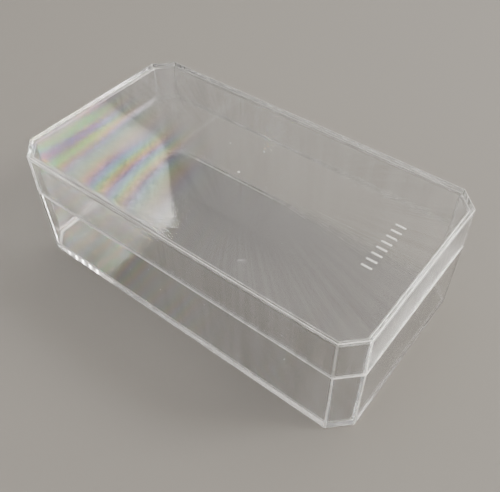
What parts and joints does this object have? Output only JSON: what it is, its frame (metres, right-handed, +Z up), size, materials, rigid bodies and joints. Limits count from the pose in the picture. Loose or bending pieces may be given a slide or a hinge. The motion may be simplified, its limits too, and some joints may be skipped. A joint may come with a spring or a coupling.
{
  "type": "lidded storage box",
  "caption": "Clear two-piece box with cut corners: an open tray with a tall upstand, and a lift-off lid that drops over it and sits flush on its shoulder.",
  "frame": {"origin": "middle of the base's underside", "axes": "+X along the box towards the end with the raised bars, +Y across it, +Z up, the way the lid lifts"},
  "size_m": [0.165, 0.089, 0.0552],
  "materials": {
    "clear_base": "water-clear crystal polystyrene, polished on every face",
    "clear_lid": "water-clear crystal polystyrene, polished, with faint flow lines running out from the gate"
  },
  "bodies": {
    "base": {"base": "clear_base"},
    "lid": {"lid": "clear_lid"}
  },
  "joints": [
    {"name": "lid_lift", "type": "slide", "parent": "base", "child": "lid", "axis": [0, 0, 1], "range_m": [0, 0.04]}
  ]
}
